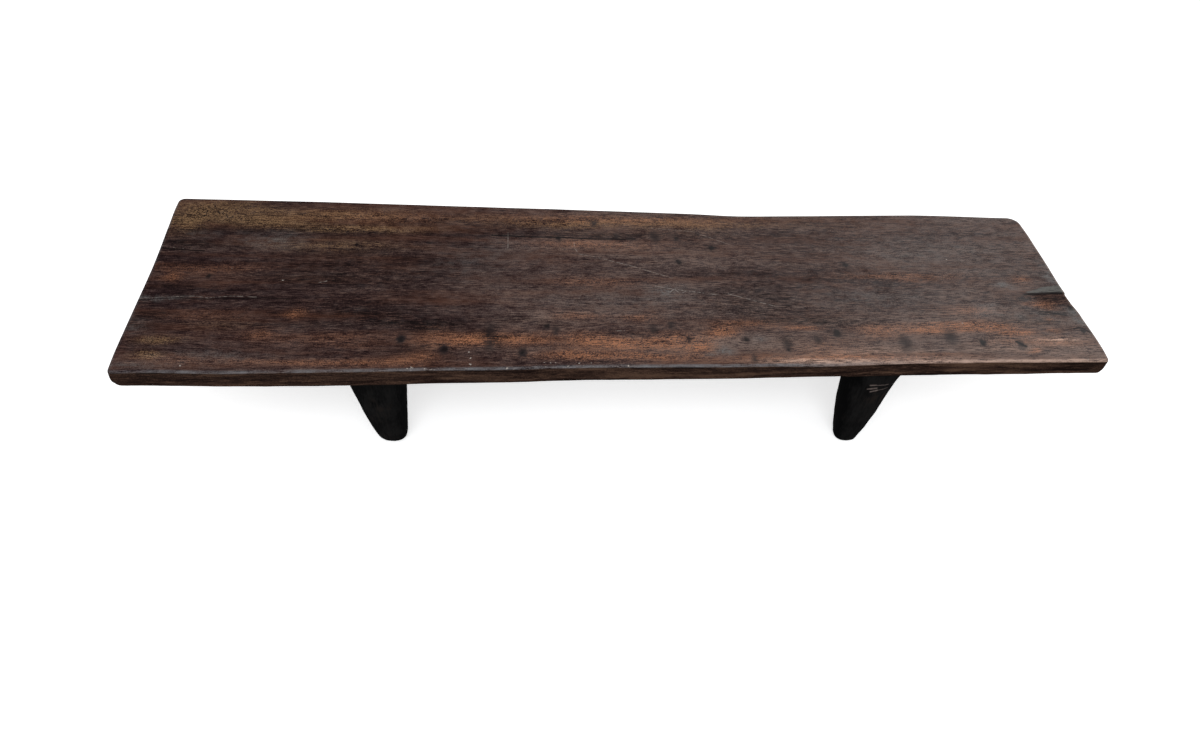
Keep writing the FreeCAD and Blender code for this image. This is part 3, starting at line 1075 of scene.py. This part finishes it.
@dataclass(frozen=True)
class BoardFinish:
    """Dark oiled hardwood: purple brown with warm streaks, worn to a low sheen that grows to the right; part
    of the sheen is painted into the colour.
    """

    tones: tuple[tuple[float, Colour], ...] = (
        (0.04, (0.011, 0.006, 0.0064)), (0.28, (0.0312, 0.0168, 0.0165)), (0.52, (0.0605, 0.0375, 0.034)),
        (0.76, (0.11, 0.0745, 0.063)), (1.0, (0.185, 0.13, 0.108)))
    russet: Colour = (0.09, 0.037, 0.022)
    ember: Colour = (0.36, 0.154, 0.079)
    olive: Colour = (0.235, 0.14, 0.074)
    # painted sheen: a grey reflection painted into the colour
    slate: Colour = (0.115, 0.115, 0.113)
    # near black: dark wood, knot cores and cracks, and painted shadow
    soot: Colour = (0.008, 0.0058, 0.006)
    smudge: Colour = (0.021, 0.015, 0.0148)
    blush: Colour = (0.64, 0.41, 0.305)
    strip: Colour = (0.095, 0.096, 0.088)
    flank_tones: tuple[tuple[float, Colour], ...] = (
        (0.06, (0.008, 0.0046, 0.004)), (0.48, (0.0255, 0.0142, 0.0108)), (0.98, (0.07, 0.04, 0.027)))
    end_tones: tuple[tuple[float, Colour], ...] = (
        (0.3, (0.0085, 0.0046, 0.0044)), (0.7, (0.0235, 0.012, 0.0108)))
    pale: Colour = (0.42, 0.37, 0.33)
    # painted highlight: the blue-grey line along the worn arrises
    rubbed_edge_highlight: Colour = (0.125, 0.127, 0.136)
    coat_roughness: float = 0.34

    def material(self) -> bpy.types.Material:
        """Builds the wood.

        Long bands, streaks, fibres and short flecks of noise, each finer than the last, add up to the
        tone, which a ramp turns into colour. Each soft tone shows where its patch and the same grain
        together pass a threshold, so its outline breaks up along the fibres. Some of the colour is
        painted light: a lift and grey sheen towards the right, a blue-grey highlight on the arrises,
        and shadow in a few dark patches and along the lip at the right end.

        Returns:
            The material.
        """
        sheet = Sheet(bpy.data.materials.new("oiled_dark_hardwood"))
        fibre = sheet.kept_place("fibre")
        place = sheet.object_place()
        flank, rubbed_edge_highlight, end = sheet.kept("flank"), sheet.kept("rubbed_edge_highlight"), sheet.kept("end_grain")
        hollow, strip = sheet.kept("hollow"), sheet.kept("strip")

        bands = sheet.noise(fibre, (1.3, 15.0, 15.0), 2.0, 0.5)
        streaks = sheet.noise(fibre, (4.0, 55.0, 55.0), 2.0, 0.5, 0.2)
        fibres = sheet.noise(fibre, (8.0, 240.0, 240.0), 2.0, 0.6)
        short = sheet.noise(fibre, (24.0, 450.0, 450.0), 2.0, 0.7)
        pores = sheet.noise(fibre, (55.0, 850.0, 850.0), 1.0, 0.7)
        specks = sheet.noise(place, (380.0, 640.0, 640.0), 1.0, 0.7)
        mottle = sheet.noise(place, (11.0, 19.0, 19.0), 3.0, 0.6)
        blotch = sheet.noise(place, (42.0, 60.0, 60.0), 2.0, 0.6)
        ember, olive, slate, soot, blush, worn = [sheet.kept(shade.value) for shade in Shade]

        along = Signal(sheet, sheet.add("ShaderNodeSeparateXYZ", {}, {0: place}).outputs[0])
        # painted sheen: the colour lightens towards the right end, as well as the coat
        sheen_to_right = along.step(-0.75, 0.95)
        fine = (fibres * 0.5 + short * 1.0 + pores * 1.9 + specks * 1.3) * (sheen_to_right * 0.6 + 0.82)
        # The tone is lifted towards the right end as painted sheen, and in the worn patches, part wear and
        # part painted sheen.
        tone = (bands * 0.75 + streaks * 0.45 + fine + mottle * 0.45 + blotch * 0.22
                + sheen_to_right * 0.14 + worn * 0.4 + 0.3 - hollow * 0.15)
        warmth = sheet.noise(fibre, (3.1, 34.0, 34.0), 3.0, 0.55)
        grain = streaks * 1.0 + fine * 1.7 + blotch * 0.5
        cells = sheet.add("ShaderNodeTexVoronoi", {"feature": "DISTANCE_TO_EDGE"},
                          {"Vector": sheet.vector("MULTIPLY", place, (120.0, 150.0, 150.0)), "Scale": 1.0})
        crackle = Signal(sheet, cells.outputs["Distance"]).step(0.13, 0.0) * olive * along.step(-0.74, -0.88)
        colour = sheet.layers(
            sheet.ramp(tone, self.tones),
            (self.russet, (warmth * 1.6 + mottle * 0.8 + fine * 0.5 + 0.12).most(0.0)),
            # painted sheen in grey patches
            (self.slate, (slate * (blotch * 1.6 + short * 1.6 + specks * 3.0 + 0.4)).most(0.0)),
            (self.olive, (olive * (grain * 2.6 + specks * 4.5 + 0.56)).most(0.0)),
            (self.ember, (ember * (grain * 1.1 + specks * 2.8 + 0.38)).most(0.0)),
            # dark wood, and in a few patches painted shadow
            (self.soot, (soot * (0.75 - grain)).most(0.0)),
            (self.blush, (blush * (short * 5.0 + pores * 5.0 + specks * 2.0 + 0.42)).most(0.0)),
            (self.strip, (grain * 0.4 + strip + 0.2).step(0.75, 1.05) * 0.85),
            (self.soot, crackle * (blotch * 2.5 + 1.0).most(0.0)))

        long_marks = sheet.noise(place, (7.0, 7.0, 75.0), 3.0, 0.65)
        side = sheet.ramp(streaks * 0.8 + fibres * 1.0 + short * 1.0 + pores * 1.2 + specks * 1.2
                          + long_marks * (sheen_to_right * 1.5 + 1.4) + 0.47, self.flank_tones)

        wobble = sheet.vector("SUBTRACT", sheet.colour_noise(place, 150.0), (0.5, 0.5, 0.5))
        wobble = sheet.vector("MULTIPLY", wobble, (0.011, 0.011, 0.0))
        warped = sheet.vector("ADD", place, wobble)
        knots = sheet.nearest_spot(warped, KNOTS)
        smudges = sheet.nearest_spot(warped, SMUDGES)
        on_top = 1.0 - flank.step(0.3, 0.9)
        core = knots.step(1.35, 0.55) * (blotch * 2.0 + specks * 1.5 + 0.95).held() * on_top
        halo = knots.step(3.0, 0.8) * (specks * 1.5 + blotch * 1.5 + 0.85).held() * on_top
        blur = smudges.step(1.7, 0.1) * on_top

        broken = sheet.noise(place, (90.0, 90.0, 90.0), 2.0, 0.7).step(-0.12, 0.08)
        above = sheet.vector("MULTIPLY", place, (1.0, 1.0, 0.0))
        small = sheet.vector("MULTIPLY_ADD", wobble, (0.13, 0.13, 0.0), above)
        scratch = sheet.nearest_line(small, SCRATCHES).step(1.4, 0.3) * broken * on_top
        # cracks, and a painted shadow line under the lip at the right end
        crack_and_shadow_line = sheet.nearest_line(small, CRACKS_AND_LIP_SHADOW).step(1.6, 0.6) * on_top
        flecks = sheet.nearest_spot(warped, FLECKS).step(1.1, 0.7) * on_top
        spray = specks.step(0.2, 0.26) * rubbed_edge_highlight * along.step(-0.56, -0.44) * along.step(0.1, -0.02)
        flecks = flecks.most(spray)
        # painted highlight along the arrises, blue-grey, turning pink towards the right
        edge = sheet.blend(self.rubbed_edge_highlight, self.blush, along.step(0.25, 0.7) * 0.6)
        breaks = (mottle * 1.4 + blotch * 1.0 + fine * 0.8 + sheen_to_right * 0.3 + 0.42).held()
        colour = sheet.layers(
            colour,
            (side, flank.step(0.55, 0.92)),
            (self.smudge, (halo * 0.42 + blur * 0.84).least(1.0)),
            (self.soot, core * 0.92),
            (self.soot, crack_and_shadow_line * 0.92),
            (edge, rubbed_edge_highlight * breaks * 0.9),
            (self.pale, (scratch * 0.45 + flecks * 0.85).least(1.0)),
            (sheet.ramp(self._end_rings(sheet, place), self.end_tones), end))

        roughness = 0.5 - fibres * 0.14 + mottle * 0.12 + slate * 0.06 - rubbed_edge_highlight * 0.14 + end * 0.2
        coat = sheen_to_right * 0.34 + worn * 0.1 + slate * 0.12 + (mottle + blotch) * 0.5
        coat = coat * on_top * (1.0 - hollow * 0.8)
        coat = (coat + rubbed_edge_highlight * breaks * 0.36).held()
        height = (fibres * 0.3 + short * 0.18 + streaks * 0.2 - core * 0.6 - halo * 0.1
                  - crack_and_shadow_line * 0.8 - scratch * 0.12 + flecks * 0.1)
        return sheet.finish(colour, roughness, height, coat, self.coat_roughness)

    @staticmethod
    def _end_rings(sheet: Sheet, place: Socket) -> Signal:
        """Growth rings seen end on: noise over the distance from a heart below the floor.

        Args:
            sheet: the material's tree.
            place: the place it is read at.

        Returns:
            A number round 0.5.
        """
        heart = sheet.vector("MULTIPLY_ADD", place, (0.0, 1.0, 1.0), (0.0, -0.03, 0.35))
        radius = Signal(sheet, sheet.vector("LENGTH", heart, output=1))
        speckle = sheet.noise(place, (300.0, 420.0, 420.0), 2.0, 0.6) + 0.5
        combined = sheet.add("ShaderNodeCombineXYZ", {}, {0: radius * 220.0 + speckle * 1.5})
        node = sheet.add("ShaderNodeTexNoise", {"normalize": True},
                         {"Vector": combined.outputs[0], "Scale": 1.0, "Detail": 2.0})
        return Signal(sheet, node.outputs["Fac"]) * 0.7 + speckle * 0.3


# ---- The legs -------------------------------------------------------------------------------------


@dataclass
class Leg:
    """A carved leg that tapers to a rounded foot, with a flared shoulder and a round tenon on top.

    Outlines give the height as a share of the leg's, then how far the outer and inner side stand from
    the middle of the seat. outer is -1 where the outer side faces left, and 1 where it faces right.
    """

    name: str
    node: str
    x: float
    y: float
    outer: int
    outline: tuple[Place, ...]
    foot_rim: float
    flare: float
    seed: int
    depth_limit: float = 0.07
    height: float = 0.2725
    flare_height: float = 0.056
    inner_flare: float = 0.4
    depth_share: float = 0.85
    squareness: float = 2.4
    tenon_radius: float = 0.024
    tenon_length: float = 0.024
    tenon_chamfer: float = 0.002
    columns: int = 96
    below_floor: float = 0.001
    rim_rings: int = 12
    body_rings: int = 44
    flare_rings: int = 16
    stroke: Pair = (0.058, 0.0288)
    cut_depth: float = 0.0009
    rough_depth: float = 0.0008

    def _outline_at(self, share: Array) -> tuple[Array, Array]:
        """The outer and inner side at shares of the height, on one curve through all the rows.

        Args:
            share: shares of the leg's height.

        Returns:
            Distances from the seat's middle on the outer and on the inner side.
        """
        rows = np.array(self.outline)
        order = len(rows) - 1
        outer = np.polyval(np.polyfit(rows[:, 0], rows[:, 1], order), share)
        inner = np.polyval(np.polyfit(rows[:, 0], rows[:, 2], order), share)
        return outer, inner

    def _levels(self) -> tuple[Array, Array, Array]:
        """Where the leg's rings lie.

        Returns:
            Their heights, what the rim takes off at each, and what the flare adds.
        """
        first = math.degrees(math.acos(1.0 - self.below_floor / self.foot_rim))
        turns = np.radians(np.linspace(first, 90.0, self.rim_rings))
        rim_z = self.foot_rim * (1.0 - np.cos(turns)) - self.below_floor
        rim_in = self.foot_rim * (1.0 - np.sin(turns))
        flare_z = self.height - self.flare_height
        body_z = np.linspace(rim_z[-1], flare_z, self.body_rings)[1:-1]
        lift = np.radians(np.linspace(0.0, 90.0, self.flare_rings))
        top_z = flare_z + self.flare_height * np.sin(lift)
        top_out = self.flare * (1.0 - np.cos(lift))
        heights = np.concatenate([rim_z, body_z, top_z])
        inset = np.concatenate([rim_in, np.zeros(len(body_z) + len(top_z))])
        flare = np.concatenate([np.zeros(len(rim_z) + len(body_z)), top_out])
        return heights, inset, flare

    def surface(self) -> tuple[Array, Array, Array]:
        """The leg's closed surface.

        Each ring is a rounded square: the cosine and sine of the angle, raised to two over the
        squareness with their signs kept, times half the width and depth. The depth is a share of the
        width, divided by the eighth root of one plus the eighth power of its share of the limit, so
        the shoulder stays under the board. Hollows left by the carving tool are pressed in along it.
        The sole closes on a pole, and the shoulder runs in to the tenon.

        Returns:
            The points, the four-sided faces and the three-sided faces.
        """
        heights, inset, flare = self._levels()
        outer, inner = self._outline_at(heights / self.height)
        outer = outer - inset + flare
        inner = inner - inset + flare * self.inner_flare
        half_run = (outer + inner) / 2.0
        half_depth = half_run * self.depth_share
        half_depth /= (1.0 + (half_depth / self.depth_limit) ** 8) ** 0.125
        middle = self.x + self.outer * (outer - inner) / 2.0
        angle = np.linspace(0.0, 2.0 * math.pi, self.columns, endpoint=False)
        power = 2.0 / self.squareness
        round_x = np.sign(np.cos(angle)) * np.abs(np.cos(angle)) ** power
        round_y = np.sign(np.sin(angle)) * np.abs(np.sin(angle)) ** power

        z = heights[:, None] + 0.0 * angle[None]
        around = 0.055 * angle[None] + 0.0 * z
        sway = 0.01 * np.sin(angle)[None] * 3.0
        cut = 1.0 - adze_hollows(z + 1.0 + sway, around + 1.0, *self.stroke, self.seed)
        rough = SmoothNoise(self.seed + 50).layered(
            4.0 * np.cos(angle)[None] + 8.0, 4.0 * np.sin(angle)[None] + 8.0, z * 28.0)
        held = smooth_step(0.0, 0.012, z) * smooth_step(self.height, self.height - 0.01, z)
        press = held * (self.cut_depth * cut + self.rough_depth * rough)
        x = middle[:, None] + (half_run[:, None] - press) * round_x[None]
        y = self.y + (half_depth[:, None] - press) * round_y[None]
        body = np.stack([x, y, z], -1)

        sole = np.array([middle[0], self.y, 0.0])
        rings = [sole + (body[0] - sole) * share for share in (0.35, 0.7)]
        rings += list(body)
        circle = np.column_stack([np.cos(angle), np.sin(angle)])
        tip = self.tenon_radius - self.tenon_chamfer
        top = self.height + self.tenon_length
        for radius, level in ((self.tenon_radius, self.height), (self.tenon_radius, self.height + 0.011),
                              (self.tenon_radius, top - self.tenon_chamfer), (tip, top), (tip * 0.5, top)):
            rings.append(np.column_stack([[self.x, self.y] + circle * radius, np.full(self.columns, level)]))
        shell = np.stack(rings)
        number = np.arange(shell.shape[0] * self.columns).reshape(shell.shape[0], -1)
        loop = np.concatenate([number, number[:, :1]], 1)
        low, high = number.size, number.size + 1
        points = np.concatenate([shell.reshape(-1, 3), sole[None], [[self.x, self.y, top]]])
        ends = np.concatenate([fan_faces(number[0][::-1], low), fan_faces(number[-1], high)])
        return points, grid_faces(loop)[:, ::-1], ends

    def broad(self, points: Array) -> Array:
        """How far each point lies inside the broad front and rear faces, from 0 at their edges to 1. The
        material paints these faces lighter than the sides, as painted shading.

        Args:
            points: the leg's points.

        Returns:
            One number for each point.
        """
        outer, inner = self._outline_at(np.clip(points[:, 2] / self.height, 0.0, 1.0))
        across = (points[:, 0] - self.x) * self.outer
        return smooth_step(1.0, 0.35, np.abs(2.0 * (across + inner) / (outer + inner) - 1.0))

    def build(self, wood: bpy.types.Material) -> bpy.types.Object:
        """Makes the leg and dresses it.

        Args:
            wood: the legs' material.

        Returns:
            The leg.
        """
        points, quads, ends = self.surface()
        piece = mesh_object(self.name, points, quads, ends)
        store(piece, "broad", self.broad(points))
        piece.data.materials.append(wood)
        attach(piece, "root")
        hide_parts(self.node)
        LOG.info("%s: %d faces", self.name, len(piece.data.polygons))
        return piece


LEFT_OUTLINE = (
    (1.0, 0.06, 0.062), (0.75, 0.059, 0.0597), (0.5, 0.0472, 0.0538), (0.25, 0.0341, 0.0484),
    (0.0, 0.011, 0.0428),
)
RIGHT_OUTLINE = (
    (1.0, 0.0551, 0.073), (0.75, 0.0453, 0.0651), (0.5, 0.0377, 0.0596), (0.25, 0.0289, 0.0494),
    (0.0, 0.0158, 0.0358),
)
LEGS = (
    Leg("carved_front_left_leg", "front_left_leg", -0.5137, -0.178, -1, LEFT_OUTLINE, 0.02, 0.008, 61),
    Leg("carved_rear_left_leg", "rear_left_leg", -0.5137, 0.1833, -1, LEFT_OUTLINE, 0.02, 0.008, 62),
    Leg("carved_front_right_leg", "front_right_leg", 0.5438, -0.1837, 1, RIGHT_OUTLINE, 0.009, 0.0166, 63,
        depth_limit=0.053),
    Leg("carved_rear_right_leg", "rear_right_leg", 0.5438, 0.1891, 1, RIGHT_OUTLINE, 0.009, 0.0166, 64,
        depth_limit=0.053),
)
# Each row: x and z of both ends, and the half width, on the front face of the right front leg.
LEG_SCRATCHES = tuple(
    Line((x, -0.232, z), (end_x, -0.232, end_z), half_width) for x, z, end_x, end_z, half_width in (
        (0.521, 0.226, 0.533, 0.227, 0.0022), (0.533, 0.227, 0.56, 0.228, 0.0014),
        (0.519, 0.213, 0.536, 0.217, 0.0026), (0.527, 0.205, 0.54, 0.21, 0.0024),
        (0.54, 0.21, 0.562, 0.215, 0.0014),
    ))


@dataclass(frozen=True)
class LegFinish:
    """Near-black stained wood with a low sheen, a few brown rubs and a scuff on one leg, and painted shading
    that leaves the broad faces lighter than the sides.
    """

    black: Colour = (0.0012, 0.0012, 0.0013)
    charcoal: Colour = (0.0074, 0.007, 0.007)
    brown: Colour = (0.015, 0.011, 0.009)
    scuff: Colour = (0.12, 0.095, 0.085)
    coat: float = 0.02
    coat_roughness: float = 0.4

    def material(self) -> bpy.types.Material:
        """Builds the stained wood.

        Returns:
            The material.
        """
        sheet = Sheet(bpy.data.materials.new("black_stained_wood"))
        place = sheet.object_place()
        grain = sheet.noise(place, (170.0, 170.0, 14.0), 3.0, 0.6)
        mottle = sheet.noise(place, (26.0, 26.0, 16.0), 4.0, 0.6)
        fine = sheet.noise(place, (600.0, 600.0, 60.0), 2.0, 0.6)
        broad = sheet.kept("broad")
        # painted shading: the broad faces charcoal, the rounded sides black
        colour = sheet.ramp(mottle * 1.9 + grain * 1.2 + fine * 1.2 + broad * 0.6,
                            ((0.1, self.black), (0.85, self.charcoal)))
        rub = sheet.noise(place, (12.0, 12.0, 9.0), 3.0, 0.6, 0.5).step(0.04, 0.2)
        rub = rub * grain.step(-0.08, 0.12) * broad
        colour = sheet.blend(colour, self.brown, rub * 0.6)
        shift = sheet.vector("MULTIPLY_ADD", sheet.colour_noise(place, 220.0),
                             (0.002, 0.0, 0.003), (-0.001, 0.0, -0.0015))
        flat = sheet.vector("MULTIPLY_ADD", sheet.vector("ADD", place, shift),
                            (1.0, 0.15, 1.0), (0.0, -0.1972, 0.0))
        scuff = sheet.nearest_line(flat, LEG_SCRATCHES).step(1.4, 0.3) * (grain * 1.5 + 0.8).least(1.0)
        colour = sheet.blend(colour, self.scuff, scuff)
        roughness = 0.58 + mottle * 0.16 - rub * 0.05
        height = grain * 0.12 + fine * 0.04 + mottle * 0.15 - scuff * 0.1
        return sheet.finish(colour, roughness, height, self.coat, self.coat_roughness)


# ---- The studio -----------------------------------------------------------------------------------


@dataclass(frozen=True)
class SoftBox:
    """A soft rectangular lamp that faces a place."""

    name: str
    place: Place
    aim: Place
    size: Pair
    power: float
    colour: Colour = (1.0, 1.0, 1.0)


@dataclass
class Studio:
    """A pale floor, a soft white surrounding, soft lamps and the camera at the photograph's angle."""

    surround: float = 0.68
    floor_colour: Colour = (0.9, 0.9, 0.9)
    floor_lift: float = 0.55
    lamps: tuple[SoftBox, ...] = (
        SoftBox("high_front", (-0.4, -2.6, 3.4), (0.0, 0.0, 0.3), (2.6, 1.4), 62.0, (0.96, 0.98, 1.0)),
        SoftBox("rear_right", (2.7, 2.5, 2.3), (0.5, 0.0, 0.3), (2.2, 1.6), 9.0, (1.0, 0.99, 0.98)),
    )
    camera_place: Place = (-0.19529, -1.37072, 1.56218)
    camera_turn: float = 0.1119308
    camera_dip: float = 0.7699534
    camera_tilt: float = 0.082228
    focal_share: float = 851.401 / 1200.0
    centre_lift: float = (365.5 - 309.362) / 1200.0

    def build(self) -> None:
        """Makes the floor, the surround, the lamps and the camera."""
        self._floor()
        self._surround()
        for lamp in self.lamps:
            self._lamp(lamp)
        self._camera()
        bpy.context.scene.view_settings.view_transform = "Standard"
        LOG.info("studio: %d lamps", len(self.lamps))

    def _seen(self, sheet: Sheet) -> Signal:
        """Tells the rays that see the white surround apart.

        Args:
            sheet: the tree that asks.

        Returns:
            1 for rays from the camera or off a glossy or clear surface, and 0 for the rest.
        """
        path = sheet.add("ShaderNodeLightPath")
        rays = [Signal(sheet, path.outputs[name])
                for name in ("Is Camera Ray", "Is Glossy Ray", "Is Transmission Ray")]
        return reduce(Signal.most, rays)

    def _floor(self) -> None:
        """A wide matt floor that keeps the object's shadow, lifted a little where it is seen."""
        side = np.linspace(-9.0, 9.0, 13)
        x, y = np.meshgrid(side, side, indexing="ij")
        points = np.stack([x, y, np.zeros(x.shape)], -1).reshape(-1, 3)
        floor = mesh_object("floor", points, grid_faces(np.arange(x.size).reshape(x.shape)))
        sheet = Sheet(bpy.data.materials.new("pale_floor"))
        matt = sheet.add("ShaderNodeBsdfDiffuse", {}, {"Color": (*self.floor_colour, 1.0)})
        glow = sheet.add("ShaderNodeEmission", {}, {"Color": (1.0, 1.0, 1.0, 1.0),
                                                    "Strength": self._seen(sheet) * self.floor_lift})
        both = sheet.add("ShaderNodeAddShader", {}, {0: matt.outputs[0], 1: glow.outputs[0]})
        sheet.add("ShaderNodeOutputMaterial", {}, {"Surface": both.outputs[0]})
        floor.data.materials.append(sheet.owner)

    def _surround(self) -> None:
        """A white world, at full strength where it is seen and at a plain level as light."""
        sheet = Sheet(bpy.data.worlds.new("surround"))
        strength = self._seen(sheet) * (1.0 - self.surround) + self.surround
        background = sheet.add("ShaderNodeBackground", {},
                               {"Color": (1.0, 1.0, 1.0, 1.0), "Strength": strength})
        sheet.add("ShaderNodeOutputWorld", {}, {"Surface": background.outputs[0]})
        bpy.context.scene.world = sheet.owner

    def _lamp(self, lamp: SoftBox) -> None:
        """Hangs one lamp and turns it to its aim.

        Args:
            lamp: the lamp.
        """
        light = bpy.data.lights.new(lamp.name, "AREA")
        light.shape = "RECTANGLE"
        light.size, light.size_y = lamp.size
        light.energy = lamp.power
        light.color = lamp.colour
        holder = bpy.data.objects.new(lamp.name, light)
        ahead = np.array(lamp.aim) - np.array(lamp.place)
        ahead /= np.linalg.norm(ahead)
        right = np.cross(ahead, (0.0, 0.0, 1.0))
        right /= np.linalg.norm(right)
        holder.matrix_world = self._turned(right, np.cross(right, ahead), ahead, lamp.place)
        bpy.context.scene.collection.objects.link(holder)

    def _camera(self) -> None:
        """Sets the camera as the photograph's was: its place, turn, dip, tilt and focal length."""
        turn, dip, tilt = self.camera_turn, self.camera_dip, self.camera_tilt
        ahead = np.array([math.sin(turn) * math.cos(dip), math.cos(turn) * math.cos(dip), -math.sin(dip)])
        level = np.array([math.cos(turn), -math.sin(turn), 0.0])
        raised = np.cross(level, ahead)
        right = math.cos(tilt) * level + math.sin(tilt) * raised
        up = -math.sin(tilt) * level + math.cos(tilt) * raised
        data = bpy.data.cameras.new("camera")
        data.sensor_fit = "HORIZONTAL"
        data.sensor_width = 36.0
        data.lens = 36.0 * self.focal_share
        data.shift_y = -self.centre_lift
        data.clip_end = 60.0
        holder = bpy.data.objects.new("camera", data)
        holder.matrix_world = self._turned(right, up, ahead, self.camera_place)
        bpy.context.scene.collection.objects.link(holder)
        bpy.context.scene.camera = holder

    @staticmethod
    def _turned(right: Array, up: Array, ahead: Array, place: Place) -> Matrix:
        """The place and turn of a thing that looks ahead.

        Args:
            right, up, ahead: its three directions.
            place: where it stands.

        Returns:
            The matrix.
        """
        turned = np.eye(4)
        turned[:3, 0], turned[:3, 1], turned[:3, 2], turned[:3, 3] = right, up, -ahead, place
        return Matrix(turned.tolist())


def main() -> None:
    """Builds the studio and the daybed's five pieces."""
    Studio().build()
    Board().build(BoardFinish())
    leg_wood = LegFinish().material()
    for leg in LEGS:
        leg.build(leg_wood)


if __name__ == "__main__":
    main()
